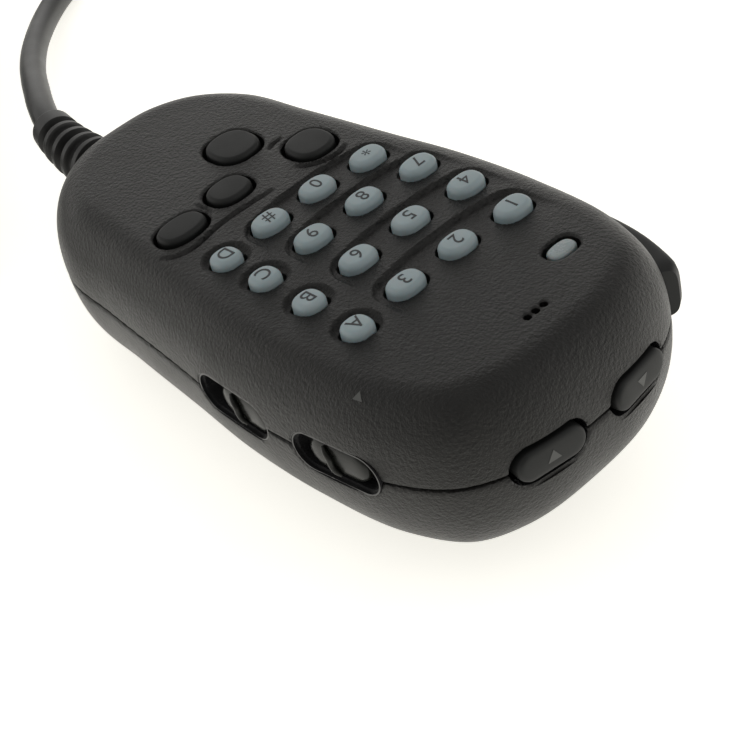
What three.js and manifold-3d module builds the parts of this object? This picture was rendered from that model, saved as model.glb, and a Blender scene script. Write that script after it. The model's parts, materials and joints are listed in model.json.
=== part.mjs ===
// Hand microphone with a tone-dialling keypad, curly cord and modular plug, in millimetres.
//
// The case is described in its own upright frame, the case frame: +X to the right of the keypad,
// +Y towards the top end with the two scan buttons, +Z out of the keypad, and z = 0 on the parting
// line between the two shells. The finished microphone lies on its back, tipped up a little by the
// hanger button, so the case frame is turned about X and lifted in one outer group.

import * as THREE from 'three';
import { mergeVertices } from 'three/addons/utils/BufferGeometryUtils.js';
import Module from 'manifold-3d';

const wasm = await Module();
wasm.setup();

// ---------------------------------------------------------------- driving dimensions

const GAP = 0.3;                    // air between neighbouring pieces
const FRONT_HEIGHT = 13.8;          // parting line to keypad face
const REAR_DEPTH = 17.9;            // parting line to the flat back
const FRONT_SHOULDER = { inset: 7.9, power: 2.2 };
const REAR_SHOULDER = { inset: 11.2, power: 2.1 };
const WALL = 2.2;
const FACE_UNDERSIDE = 10;          // the face is thick enough for the scooped key rows
const BACK_INSIDE = -REAR_DEPTH + WALL;

// Right half of the parting line, from the middle of the top end to the middle of the cord end.
const HALF_OUTLINE = [
  [0, 46], [13.3, 44.6], [23.1, 39.1], [28.4, 27.9], [30, 11.5], [29.6, -4.5],
  [27.8, -19.2], [25.6, -37.7], [23.6, -51.5], [17.3, -61.6], [8.7, -66.6], [0, -67.5],
];
const OUTLINE_STEPS = 56;

const BUTTON_STANDS = 5;            // the hanger button under the back
const TILT = THREE.MathUtils.degToRad(4.6);
const CASE_AT = new THREE.Vector3(1.76, 23.48, 22.36);  // puts the case's footprint on the origin

const KEY = { width: 6.4, height: 4.8, top: 15 };
const LETTER_KEY = { width: 5, height: 4.7, top: 15 };
const KEY_FLANGE_TOP = FACE_UNDERSIDE - GAP;
const KEY_FLANGE_BOTTOM = 9.1;
const FLANGE_LIP = 0.7;
const KEY_ROWS = [
  { names: ['1', '2', '3', 'a'], y: 15.2, middle: -0.25, pitch: 11 },
  { names: ['4', '5', '6', 'b'], y: 4.5, middle: -0.85, pitch: 11.2 },
  { names: ['7', '8', '9', 'c'], y: -5.7, middle: -0.8, pitch: 11 },
  { names: ['star', '0', 'hash', 'd'], y: -14.9, middle: 0.35, pitch: 10.2 },
];
const ROW_SMILE = 0.55;             // the outer keys of a row sit this much higher than its middle
const SCOOP = { above: 5.2, below: 4.4, depth: 1.6, lead: 5.4, riser: 0.6 };

const MEMORY_KEYS = [
  { name: 'key_p1', at: [-13.1, -26.4], width: 8.1, height: 7.9 },
  { name: 'key_p2', at: [-5.9, -37.8], width: 8.7, height: 8.9 },
  { name: 'key_p3', at: [2.9, -28.6], width: 7.8, height: 6.4 },
  { name: 'key_p4', at: [14, -27.5], width: 8.9, height: 6 },
];
const MEMORY_KEY_TOP = 14.4;

const LENS = { at: [-13.6, 28.2], width: 5.2, height: 3.2, top: 13.5 };
const MIC = { at: [-0.6, 34.9], radius: 4.8, height: 5.4, holeRadius: 0.65, holePitch: 1.7 };

const SCAN_BUTTON = { width: 12, height: 5.2, x: { up_button: 10.1, down_button: -8.4 } };
const SLIDE_SWITCH = { length: 17.2, height: 7.4, y: { lock: 20.6, lamp: -2.5 } };
const SLIDER = { length: 11.6, height: 5.4 };
const SLIDER_REST = { lock: 0, lamp: 2 };  // from the recess's middle, towards the top end

const PTT = { top: 35.8, bottom: -9.5, half: 4.6, stands: 3.5, inside: 3.5, pinY: -5.6 };
const PTT_PIN = { radius: 0.8, inset: 1.8, half: 6.8 };

const SCREWS = [[17, 34.2], [-17, 34.2], [16, -47], [-16, -47]];
const SCREW_POST = { front: 3, rear: 3.4, shank: 1.4, seat: 2.7, headAt: -9 };
const HANGER = { y: 14, radius: 8.5, neck: 5.5, pilot: 1.6 };
// Holes are this much wider than the cap, the button or the bar in them.
const KEY_MARGIN = 0.8;
const MEMORY_KEY_MARGIN = 1;
const RECESS_MARGIN = 1.9;
const PTT_MARGIN = { ends: 1.2, sides: 0.5 };

const BOOT = { radius: 5.8, tip: 4, neck: 3.9, bore: 4.2, z: 1 };
const CORD_RADIUS = 2.65;
const CURL_RADIUS = 8.3;

// ---------------------------------------------------------------- materials

const finish = (color, roughness, metalness = 0) => () =>
  new THREE.MeshStandardMaterial({ color, roughness, metalness });
const blackCase = finish(0x1d1d1e, 0.55);
const greyKey = finish(0xa9b8bb, 0.5);
const darkKey = finish(0x242627, 0.6);
const glossBlack = finish(0x141415, 0.25);
const blackRubber = finish(0x18191a, 0.8);
const greyRubber = finish(0x6f7476, 0.85);
const milkyLens = finish(0xc9d4d6, 0.3);
const boardGreen = finish(0x1f5a36, 0.6);
const switchBlack = finish(0x2a2a2c, 0.5);
const steel = finish(0x9a9da0, 0.35, 0.9);
const clearPlug = finish(0xcfd2cf, 0.15);
const whitePlastic = finish(0xe4e2da, 0.6);

// ---------------------------------------------------------------- small builders

const point = (x, y, z = 0) => new THREE.Vector3(x, y, z);

/** A closed solid through rings of equal length, ends closed by a fan. */
function loft(rings) {
  const count = rings[0].length;
  const middle = (ring) => ring.reduce((sum, p) => sum.add(p), point(0, 0)).divideScalar(count);
  const vertices = [...rings.flat(), middle(rings[0]), middle(rings.at(-1))];
  const index = [];
  for (let i = 0; i < count; i++) {
    const next = (i + 1) % count;
    for (let k = 0; k + 1 < rings.length; k++) {
      const [a, b] = [k * count, (k + 1) * count];
      index.push(a + i, a + next, b + next, a + i, b + next, b + i);
    }
    const last = (rings.length - 1) * count;
    index.push(next, i, vertices.length - 2);
    index.push(last + i, last + next, vertices.length - 1);
  }
  const geometry = new THREE.BufferGeometry().setFromPoints(vertices);
  geometry.setIndex(index);
  return geometry;
}

/** Counter-clockwise rounded outline between an ellipse (power 2) and a box (large power). */
function oval(width, height, z, power = 2.6, steps = 18) {
  return Array.from({ length: steps }, (_, i) => {
    const angle = ((i + 0.5) / steps) * 2 * Math.PI;
    const [c, s] = [Math.cos(angle), Math.sin(angle)];
    const reach = (v) => Math.sign(v) * Math.abs(v) ** (2 / power);
    return point((reach(c) * width) / 2, (reach(s) * height) / 2, z);
  });
}

/** Ovals stacked upwards: each level is [width, height, z]. */
const stack = (levels, power, steps) => loft(levels.map(([w, h, z]) => oval(w, h, z, power, steps)));

/** A racetrack outline, two straights joined by half circles. */
function racetrack(length, height, z, steps = 7) {
  const radius = height / 2;
  const straight = length / 2 - radius;
  return [1, -1].flatMap((side) =>
    Array.from({ length: steps }, (_, i) => {
      const angle = (i / (steps - 1) - 0.5) * Math.PI;
      return point(side * (straight + Math.cos(angle) * radius), side * Math.sin(angle) * radius, z);
    }));
}

function cylinder(radius, low, high, steps = 16) {
  const geometry = new THREE.CylinderGeometry(radius, radius, high - low, steps);
  return geometry.rotateX(Math.PI / 2).translate(0, 0, (low + high) / 2);
}

const block = (width, depth, low, high) =>
  new THREE.BoxGeometry(width, depth, high - low).translate(0, 0, (low + high) / 2);

/** A round solid along a smooth path, with one radius for each of its evenly spaced rings. */
function sweep(path, radii, sides = 10) {
  const frames = path.computeFrenetFrames(radii.length - 1);
  return loft(radii.map((radius, k) => {
    const centre = path.getPointAt(k / (radii.length - 1));
    return Array.from({ length: sides }, (_, i) => {
      const angle = (i / sides) * 2 * Math.PI;
      return centre.clone()
        .addScaledVector(frames.normals[k], Math.cos(angle) * radius)
        .addScaledVector(frames.binormals[k], Math.sin(angle) * radius);
    });
  }));
}

function tube(path, radius, steps, sides = 10) {
  const section = new THREE.Shape(Array.from({ length: sides }, (_, i) => {
    const angle = (i / sides) * 2 * Math.PI;
    return new THREE.Vector2(Math.cos(angle) * radius, Math.sin(angle) * radius);
  }));
  return new THREE.ExtrudeGeometry(section, { extrudePath: path, steps, bevelEnabled: false });
}

/** A geometry's closed solid, ready to be joined or cut. */
function solid(geometry) {
  const bare = geometry.clone();
  bare.deleteAttribute('normal');
  bare.deleteAttribute('uv');
  const merged = mergeVertices(bare, 1e-5);
  return new wasm.Manifold(new wasm.Mesh({
    numProp: 3,
    vertProperties: new Float32Array(merged.attributes.position.array),
    triVerts: new Uint32Array(merged.index.array),
  }));
}

/** Joins the added pieces to the base and then takes the cuts away. */
function carve(base, { add = [], cut = [] }) {
  let body = solid(base);
  for (const piece of add) body = body.add(solid(piece));
  for (const piece of cut) body = body.subtract(solid(piece));
  const mesh = body.getMesh();
  const geometry = new THREE.BufferGeometry();
  geometry.setAttribute('position', new THREE.BufferAttribute(mesh.vertProperties, 3));
  geometry.setIndex(new THREE.BufferAttribute(mesh.triVerts, 1));
  return geometry;
}

function named(name, geometry, material) {
  const mesh = new THREE.Mesh(geometry, material());
  mesh.name = name;
  geometry.computeVertexNormals();
  return mesh;
}

// ---------------------------------------------------------------- the case outline

const outline = new THREE.CatmullRomCurve3(
  [...HALF_OUTLINE, ...HALF_OUTLINE.slice(1, -1).reverse().map(([x, y]) => [-x, y])]
    .map(([x, y]) => point(x, y)),
  true, 'centripetal');

/** Place and outward normal at a share of the way round the parting line. */
function edge(share) {
  const tangent = outline.getTangentAt(share);
  return { at: outline.getPointAt(share), out: point(-tangent.y, tangent.x) };
}

/** The edge at a given x along the top end, or at a given y along the side with the sign of x. */
function edgeWhere(wanted) {
  const shares = Array.from({ length: 600 }, (_, i) => i / 600);
  const miss = (share) => wanted(outline.getPointAt(share));
  return edge(shares.reduce((best, share) => (miss(share) < miss(best) ? share : best)));
}
const topEdge = (x) => edgeWhere((p) => Math.abs(p.x - x) + (p.y > 0 ? 0 : 99));
const sideEdge = (y, side) => edgeWhere((p) => Math.abs(p.y - y) + (p.x * side > 0 ? 0 : 99));

/** The outline moved inwards, counter-clockwise, at a height. */
function ring(inset, z) {
  return Array.from({ length: OUTLINE_STEPS }, (_, i) => {
    const { at, out } = edge(1 - (i + 0.5) / OUTLINE_STEPS);
    return at.addScaledVector(out, -inset).setZ(z);
  });
}

/** Rings of a rounded shoulder from the parting line to a flat face at the given height. */
function shoulder(start, height, { inset, power }, steps) {
  return Array.from({ length: steps + 1 }, (_, i) => {
    const angle = (i / steps) * (Math.PI / 2);
    const inwards = (1 - Math.cos(angle) ** (2 / power)) * inset;
    return ring(inwards, start + (height - start) * Math.sin(angle) ** (2 / power));
  });
}

/** Turns a geometry made around +Z so that +Z looks out of the case, with X along the edge. */
function facing(geometry, { at, out }, z = 0) {
  const up = point(0, 0, 1);
  const along = new THREE.Vector3().crossVectors(up, out);
  const matrix = new THREE.Matrix4().makeBasis(along, up, out).setPosition(at.x, at.y, z);
  return geometry.applyMatrix4(matrix);
}

const scanEdges = Object.entries(SCAN_BUTTON.x).map(([name, x]) => ({ name, edge: topEdge(x) }));
const switchEdges = Object.entries(SLIDE_SWITCH.y).map(([name, y]) => ({ name, edge: sideEdge(y, 1) }));

// ---------------------------------------------------------------- shells

/** Everything that cuts both shells along the parting line. */
function partingCuts() {
  const scans = scanEdges.map(({ edge: e }) => facing(
    loft([-6, 4].map((z) =>
      racetrack(SCAN_BUTTON.width + RECESS_MARGIN, SCAN_BUTTON.height + RECESS_MARGIN, z))), e));
  const slides = switchEdges.map(({ edge: e }) => facing(
    loft([-3.4, 4].map((z) => racetrack(SLIDE_SWITCH.length, SLIDE_SWITCH.height, z))), e));
  const bore = cylinder(BOOT.bore, -14, 8, 20).rotateX(Math.PI / 2).translate(0, -64, BOOT.z);
  const pinSockets = cylinder(PTT_PIN.radius + GAP, -PTT_PIN.half - GAP, PTT_PIN.half + GAP, 12)
    .translate(pttPinAt.x, pttPinAt.y, 0);
  return [...scans, ...slides, bore, pttSlot(), pinSockets];
}

/** A flat prism along the left side, in plan between two offsets from the parting line. */
function alongEdge(low, high, inner, outer, bottom, top, rounded = 0) {
  const middle = Array.from({ length: 9 }, (_, i) => low + 1.6 + ((high - low - 3.2) * i) / 8);
  const ys = [low, low + 0.6, ...middle, high - 0.6, high];
  const edges = ys.map((y) => sideEdge(y, -1));
  const ends = [rounded, rounded * 0.4];
  const eased = (k) => outer - (ends[k] ?? ends[ys.length - 1 - k] ?? 0);
  const row = (offset) => edges.map(({ at, out }, k) => at.clone().addScaledVector(out, offset(k)));
  const plan = [...row(eased).reverse(), ...row(() => inner)].map((p) => new THREE.Vector2(p.x, p.y));
  return new THREE.ExtrudeGeometry(new THREE.Shape(plan), { depth: top - bottom, bevelEnabled: false })
    .translate(0, 0, bottom);
}

const pttHinge = sideEdge(PTT.pinY, -1);
const pttPinAt = pttHinge.at.clone().addScaledVector(pttHinge.out, -PTT_PIN.inset);
const pttSlot = () => alongEdge(PTT.bottom - PTT_MARGIN.ends, PTT.top + PTT_MARGIN.ends,
  -PTT.inside - 4, 6, -PTT.half - PTT_MARGIN.sides, PTT.half + PTT_MARGIN.sides);

const keyPlaces = KEY_ROWS.flatMap(({ names, y, middle, pitch }) =>
  names.map((name, column) => ({
    name,
    shape: column === 3 ? LETTER_KEY : KEY,
    x: middle + (column - 1.5) * pitch,
    y: y + (Math.abs(column - 1.5) > 1 ? ROW_SMILE : -ROW_SMILE),
  })));

/** A straight oval hole through the face. */
const faceHole = (width, height, x, y) =>
  stack([[width, height, 8], [width, height, 16]]).translate(x, y, 0);

/** One cylinder on each of the four screw places. */
const onScrews = (radius, bottom, top, sides) =>
  SCREWS.map(([x, y]) => cylinder(radius, bottom, top, sides).translate(x, y, 0));

function frontShell() {
  const outer = loft(shoulder(GAP / 2, FRONT_HEIGHT, FRONT_SHOULDER, 6));
  const cavity = loft([
    ring(WALL, -1), ring(WALL, 4), ring(WALL + 2.2, 8), ring(WALL + 4.8, FACE_UNDERSIDE),
  ]);
  const hollow = carve(cavity, { cut: onScrews(SCREW_POST.front, GAP, FACE_UNDERSIDE + 1, 14) });
  const pilots = onScrews(SCREW_POST.shank, -2, 8, 12);
  const scoops = KEY_ROWS.map(({ y }) => {
    const top = FRONT_HEIGHT;
    const profile = [[y + SCOOP.above, top], [y - SCOOP.below, top - SCOOP.depth],
      [y - SCOOP.below - SCOOP.riser, top + 2], [y + SCOOP.above, top + 2]];
    const shape = new THREE.Shape(profile.map(([a, b]) => new THREE.Vector2(a, b)));
    const left = keyPlaces[0].x - SCOOP.lead;
    const right = keyPlaces[2].x + SCOOP.lead;
    return new THREE.ExtrudeGeometry(shape, { depth: right - left, bevelEnabled: false })
      .rotateY(Math.PI / 2).rotateX(Math.PI / 2).translate(left, 0, 0);
  });
  const keyHoles = keyPlaces.map(({ shape, x, y }) =>
    faceHole(shape.width + KEY_MARGIN, shape.height + KEY_MARGIN, x, y));
  const memoryHoles = MEMORY_KEYS.map(({ at, width, height }) =>
    faceHole(width + MEMORY_KEY_MARGIN, height + MEMORY_KEY_MARGIN, ...at));
  const lensHole = faceHole(LENS.width + KEY_MARGIN, LENS.height + KEY_MARGIN, ...LENS.at);
  const soundHoles = [-1, 0, 1].map((k) =>
    cylinder(MIC.holeRadius, 8, 16, 10).translate(MIC.at[0] + k * MIC.holePitch, MIC.at[1], 0));
  const micPocket = cylinder(MIC.radius + 1.1 + GAP, 4, FACE_UNDERSIDE, 20).translate(...MIC.at, 0);
  const faceHoles = [...keyHoles, ...memoryHoles, lensHole, ...soundHoles];
  return carve(outer, { cut: [hollow, micPocket, ...pilots, ...scoops, ...faceHoles, ...partingCuts()] });
}

function rearShell() {
  const down = (rings) => rings.map((r) => r.reverse());
  const outer = loft(down(shoulder(-GAP / 2, -REAR_DEPTH, REAR_SHOULDER, 7)));
  const cavity = loft([ring(WALL + 7.6, BACK_INSIDE), ring(WALL + 3.4, -12.4), ring(WALL + 1, -7.5),
    ring(WALL, -3), ring(WALL, 1)]);
  const towers = onScrews(SCREW_POST.rear, -REAR_DEPTH - 1, -GAP, 16);
  const seats = onScrews(SCREW_POST.seat, -REAR_DEPTH - 2, SCREW_POST.headAt, 16);
  const shanks = onScrews(SCREW_POST.shank, SCREW_POST.headAt - 1, 2, 12);
  const hangerBoss = cylinder(4, -REAR_DEPTH - 1, -11.5, 16).translate(0, HANGER.y, 0);
  const hollow = carve(cavity, { cut: [...towers, hangerBoss] });
  const hangerPilot = cylinder(HANGER.pilot, -REAR_DEPTH - 2, -11, 12).translate(0, HANGER.y, 0);
  return carve(outer, { cut: [hollow, ...seats, ...shanks, hangerPilot, ...partingCuts()] });
}

// ---------------------------------------------------------------- keys and controls

/** A cap with a retaining flange under the face. */
function cap({ width, height, top }, power, softness = 0.9) {
  const lip = 2 * FLANGE_LIP;
  return stack([
    [width + lip, height + lip, KEY_FLANGE_BOTTOM], [width + lip, height + lip, KEY_FLANGE_TOP],
    [width, height, KEY_FLANGE_TOP], [width, height, top - softness],
    [width - 0.6, height - 0.6, top - softness * 0.3], [width - 2, height - 2, top],
  ], power);
}

const keys = keyPlaces.map(({ name, shape, x, y }) => {
  const mesh = named(`key_${name}`, cap(shape), greyKey);
  mesh.position.set(x, y, 0);
  return mesh;
});

const memoryKeys = MEMORY_KEYS.map(({ name, at, width, height }) => {
  const mesh = named(name, cap({ width, height, top: MEMORY_KEY_TOP }, 2.4), darkKey);
  mesh.position.set(...at, 0);
  return mesh;
});

/** Racetrack block behind the wall, with a softer face standing just out of the recess. */
const scanButtons = scanEdges.map(({ name, edge: e }) => {
  const { width, height } = SCAN_BUTTON;
  const face = loft([
    racetrack(width, height, -3.6), racetrack(width, height, -0.4),
    racetrack(width - 0.8, height - 0.8, 0.1), racetrack(width - 3, height - 3, 0.3),
  ]);
  return named(name, facing(face, e), darkKey);
});

/** Dished thumb slider with a rib across it. */
const sliders = switchEdges.map(({ name, edge: e }) => {
  const { length, height } = SLIDER;
  const plate = loft([racetrack(length, height, -2.7), racetrack(length, height, -1.3),
    racetrack(length - 1, height - 1, -1)]);
  const rib = new THREE.BoxGeometry(1.8, height - 1.4, 1.6).translate(0, 0, -0.7);
  const stem = new THREE.BoxGeometry(2.4, 1.6, 1.1).translate(0, 0, -2.8);
  const mesh = named(`${name}_slider`, carve(plate, { add: [rib, stem] }), glossBlack);
  mesh.geometry.translate(SLIDER_REST[name], 0, 0);
  facing(mesh.geometry, e);
  return mesh;
});

/** Switch housing behind a slider, its rounded bezel closing the recess. */
const slideSwitches = switchEdges.map(({ name, edge: e }) => {
  const bezel = loft([racetrack(SLIDE_SWITCH.length - 0.6, SLIDE_SWITCH.height - 0.6, -4.6),
    racetrack(SLIDE_SWITCH.length - 0.6, SLIDE_SWITCH.height - 0.6, -3)]);
  const housing = new THREE.BoxGeometry(12, 6, 3.6).translate(0, 0, -6.2);
  const slot = new THREE.BoxGeometry(8.8, 2.4, 3).translate(0, 0, -3);
  return named(`${name}_switch`, facing(carve(bezel, { add: [housing], cut: [slot] }), e), switchBlack);
});

const scanSwitches = scanEdges.map(({ name, edge: e }) => {
  const body = new THREE.BoxGeometry(6, 3.6, 3).translate(0, 0, -7.9);
  const plunger = cylinder(0.9, -6.6, -4.8, 10);
  return named(name.replace('button', 'switch'), facing(carve(body, { add: [plunger] }), e), switchBlack);
});

// ---------------------------------------------------------------- push-to-talk bar

function pttBar() {
  const bar = alongEdge(PTT.bottom, PTT.top, -PTT.inside, PTT.stands, -PTT.half, PTT.half, 1.6);
  const bore = cylinder(PTT_PIN.radius + GAP, -9, 9, 12).translate(pttPinAt.x, pttPinAt.y, 0);
  const springPocket = cylinder(2.1, -2.6, 2.6, 14).translate(pttPinAt.x, pttPinAt.y, 0);
  const pocketMouth = new THREE.BoxGeometry(5, 4.2, 5.2).translate(pttPinAt.x + 2.6, pttPinAt.y, 0);
  return carve(bar, { cut: [bore, springPocket, pocketMouth] });
}

/** Torsion spring round the hinge pin. */
function pttSpring() {
  const turns = 3;
  const steps = 30;
  const coil = Array.from({ length: steps + 1 }, (_, i) => {
    const angle = (i / steps) * turns * 2 * Math.PI;
    return point(Math.cos(angle) * 1.5, Math.sin(angle) * 1.5, (i / steps - 0.5) * 4);
  });
  return tube(new THREE.CatmullRomCurve3(coil), 0.25, 36, 6).translate(pttPinAt.x, pttPinAt.y, 0);
}

// ---------------------------------------------------------------- inside the case

function circuitBoard() {
  const plan = new THREE.Shape([
    [-20, -42], [20, -42], [21, -36], [21, 26], [17.5, 29.5], [-17, 29.5], [-20, 26],
  ].map(([x, y]) => new THREE.Vector2(x, y)));
  const board = new THREE.ExtrudeGeometry(plan, { depth: 1.6, bevelEnabled: false }).translate(0, 0, 5);
  const micNotch = cylinder(MIC.radius + 1.4, 3, 9, 20).translate(...MIC.at, 0);
  return carve(board, { cut: [micNotch] });
}

function keypadMat() {
  const plan = new THREE.Shape([
    [-19, -41], [19, -41], [20, -35], [20, 22], [17, 24.5], [-16, 24.5], [-19, 22],
  ].map(([x, y]) => new THREE.Vector2(x, y)));
  return new THREE.ExtrudeGeometry(plan, { depth: 0.9, bevelEnabled: false }).translate(0, 0, 6.9);
}

/** A screw pointing up, its head below: pan head with a slot, plain shank. */
function screw(length, headRadius = 2.1, shankRadius = 1.1) {
  const profile = [[0, -1.6], [headRadius * 0.7, -1.6], [headRadius, -1], [headRadius, 0],
    [shankRadius, 0], [shankRadius, length - 1], [0, length]];
  const turned = new THREE.LatheGeometry(profile.map(([r, z]) => new THREE.Vector2(r, z)), 14)
    .rotateX(Math.PI / 2);
  const cross = [0, Math.PI / 2].map((turn) =>
    new THREE.BoxGeometry(2.4, 0.6, 1.6).rotateZ(turn).translate(0, 0, -1.7));
  return carve(turned, { cut: cross });
}

const caseScrews = SCREWS.map(([x, y], i) => {
  const mesh = named(`case_screw_${i + 1}`, screw(15), steel);
  mesh.position.set(x, y, SCREW_POST.headAt - GAP);
  return mesh;
});

function hangerButton() {
  const back = -REAR_DEPTH - GAP;
  const end = -REAR_DEPTH - BUTTON_STANDS;
  const profile = [[0, end], [HANGER.radius - 0.8, end], [HANGER.radius, end + 0.7],
    [HANGER.radius, end + 1.7], [HANGER.radius - 0.6, end + 2.3], [HANGER.neck, end + 2.6],
    [HANGER.neck, back], [0, back]];
  const turned = new THREE.LatheGeometry(profile.map(([r, z]) => new THREE.Vector2(r, z)), 28)
    .rotateX(Math.PI / 2);
  const headSeat = cylinder(2.8, end - 1, end + 2.2);
  return carve(turned, { cut: [headSeat, cylinder(HANGER.pilot, end, back + 1, 12)] });
}

function indicatorLens() {
  const { width, height, top } = LENS;
  return stack([[width + 1.4, height + 1.4, 9.1], [width + 1.4, height + 1.4, KEY_FLANGE_TOP],
    [width, height, KEY_FLANGE_TOP], [width, height, top - 0.5], [width - 1.2, height - 1.2, top]]);
}

/** Rubber cup round the capsule, open at the back. */
function micSeal() {
  const cup = cylinder(MIC.radius + 1.1, 5.2, FACE_UNDERSIDE - GAP, 20);
  const inside = cylinder(MIC.radius + GAP, 4, 8.9, 20);
  const soundPath = cylinder(2.6, 8, 11, 14);
  return carve(cup, { cut: [inside, soundPath] }).translate(...MIC.at, 0);
}

const boardParts = [
  ['mic_capsule', cylinder(MIC.radius, 8.6 - MIC.height, 8.6, 20).translate(...MIC.at, 0), steel],
  ['indicator_led', cylinder(1.4, 6.9, 8.8, 12).translate(...LENS.at, 0), milkyLens],
  ['dtmf_chip', block(10, 6, 2.6, 4.7).translate(4, 4, 0), switchBlack],
  ['tone_crystal', block(8, 3.4, 1.6, 4.7).translate(4, -6, 0), steel],
  ['wire_connector', block(12, 5, 0.6, 4.7).translate(0, -36, 0), whitePlastic],
  ['key_lamp_left', block(2.4, 1.4, 3.5, 4.7).translate(-13, 14, 0), whitePlastic],
  ['key_lamp_right', block(2.4, 1.4, 3.5, 4.7).translate(13, 14, 0), whitePlastic],
  ['ptt_switch', block(4, 7, 1.4, 4.7).translate(-17.4, 20, 0), switchBlack],
  ['cord_clamp', block(13, 5, -12, BACK_INSIDE + 12.3).translate(0, -53, 0), switchBlack],
];

// ---------------------------------------------------------------- cord

/** Strain relief: a collar inside the wall, a neck in it and a tapering sleeve bent to one side. */
function strainRelief() {
  const z = BOOT.z;
  const path = new THREE.CatmullRomCurve3([
    point(0, -63, z), point(0, -70, z), point(-0.3, -78, z + 0.1), point(-1.3, -85.5, z + 0.3),
    point(-3, -92.5, z + 0.5)]);
  const collar = cylinder(5, 0, 2.2, 16).rotateX(-Math.PI / 2).translate(0, -63.8, z);
  const rings = Array.from({ length: 15 }, (_, i) => {
    const share = Math.max(0, (i - 3) / 11);
    return i < 3 ? BOOT.neck : BOOT.radius + (BOOT.tip - BOOT.radius) * share;
  });
  return carve(sweep(path, rings, 14), { add: [collar] });
}

// The cord lies on the surface at z = 0 of the finished frame. From the sleeve the lead comes down
// to it, loops round to the other side and meets the curl, which runs straight to the tail.
const LEAD_POINTS = [
  [-1.5, -69.52, 16.4], [-2.6, -72.32, 16.3], [-4.1, -75.52, 15.9], [-6.2, -79.72, 15],
  [-8.9, -84.62, 13.8], [-12.4, -90.92, 12.1], [-16.6, -97.72, 10.2], [-22.4, -105.82, 7.9],
  [-28.4, -112.82, 6], [-34.9, -119.12, 4.5], [-41, -123.92, 3.5], [-45.8, -126.82, 3],
].map((p) => point(...p));
const CORD_Z = 2.8;
const LOOP = { x: -40.5, y: -143.22, radius: 17, from: 122, to: 325, steps: 9 };
const CURL = { heading: 55, length: 110, z: 8.4 };
const TAIL_LENGTH = 18;

const onLoop = (degrees) => {
  const angle = THREE.MathUtils.degToRad(degrees);
  return point(LOOP.x + LOOP.radius * Math.cos(angle), LOOP.y + LOOP.radius * Math.sin(angle), CORD_Z);
};
const LOOP_POINTS = Array.from({ length: LOOP.steps + 1 }, (_, i) =>
  onLoop(LOOP.from + ((LOOP.to - LOOP.from) * i) / LOOP.steps));
const alongCurl = (distance, z) => {
  const heading = THREE.MathUtils.degToRad(CURL.heading);
  const start = onLoop(LOOP.to);
  return point(start.x + distance * Math.cos(heading), start.y + distance * Math.sin(heading), z);
};
const CURL_POINTS = [alongCurl(3 * GAP, CURL.z), alongCurl(CURL.length, CURL.z)];
const TAIL_POINTS = [
  alongCurl(CURL.length + GAP, CORD_Z), alongCurl(CURL.length + TAIL_LENGTH - GAP, CORD_Z),
];
const PLUG = { width: 11.7, length: 21.4, height: 6.6, z: 3.6 };
const PLUG_AT = alongCurl(CURL.length + TAIL_LENGTH, 0);

/** Plug body along +Y with its springy latch on top. */
function modularPlug() {
  const { width, length, height, z } = PLUG;
  const body = new THREE.BoxGeometry(width, length, height).translate(0, length / 2, z);
  const latch = new THREE.BoxGeometry(6, 14, 1).rotateX(0.12).translate(0, 12, z + 4.6);
  const latchRoot = new THREE.BoxGeometry(6, 2, 1.8).translate(0, length - 2.8, z + 4);
  return carve(body, { add: [latch, latchRoot] });
}

// ---------------------------------------------------------------- assembly

const caseFrame = new THREE.Group();
caseFrame.position.copy(CASE_AT);
caseFrame.rotation.x = TILT;
caseFrame.add(
  named('front_shell', frontShell(), blackCase),
  named('rear_shell', rearShell(), blackCase),
  ...keys,
  ...memoryKeys,
  ...scanButtons,
  ...scanSwitches,
  ...sliders,
  ...slideSwitches,
  named('ptt_bar', pttBar(), darkKey),
  named('ptt_pin', cylinder(PTT_PIN.radius, -PTT_PIN.half, PTT_PIN.half, 12)
    .translate(pttPinAt.x, pttPinAt.y, 0), steel),
  named('ptt_spring', pttSpring(), steel),
  named('circuit_board', circuitBoard(), boardGreen),
  named('keypad_mat', keypadMat(), greyRubber),
  named('indicator_lens', indicatorLens().translate(...LENS.at, 0), milkyLens),
  named('mic_seal', micSeal(), blackRubber),
  ...boardParts.map(([name, geometry, material]) => named(name, geometry, material)),
  ...caseScrews,
  named('hanger_button', hangerButton().translate(0, HANGER.y, 0), darkKey),
  named('hanger_screw', screw(8).translate(0, HANGER.y, -REAR_DEPTH - BUTTON_STANDS + 1.9), steel),
  named('strain_relief', strainRelief(), blackRubber),
);

const plug = named('modular_plug', modularPlug(), clearPlug);
plug.position.copy(PLUG_AT);
plug.rotation.z = THREE.MathUtils.degToRad(CURL.heading - 90);

const cord = (points, radius, steps, sides) =>
  tube(new THREE.CatmullRomCurve3(points), radius, steps, sides);
const group = new THREE.Group();
group.add(
  caseFrame,
  named('cord_lead', cord([...LEAD_POINTS, ...LOOP_POINTS], CORD_RADIUS, 30), blackRubber),
  named('cord_curl', cord(CURL_POINTS, CURL_RADIUS, 4, 12), blackRubber),
  named('cord_tail', cord(TAIL_POINTS, CORD_RADIUS, 2), blackRubber),
  plug,
);

export default group;
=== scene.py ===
"""Looks of the hand microphone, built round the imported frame.

Shapes are made in the case frame, in millimetres: +X to the right of the keypad, +Y towards the
top end, +Z out of the keypad and z = 0 on the parting line. `settle` then turns a finished mesh
into the frame's metres. Places and sizes of keys and controls are read from the frame's nodes.
"""

import json
import math

import bpy
import numpy as np
from mathutils import Matrix, Vector


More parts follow.
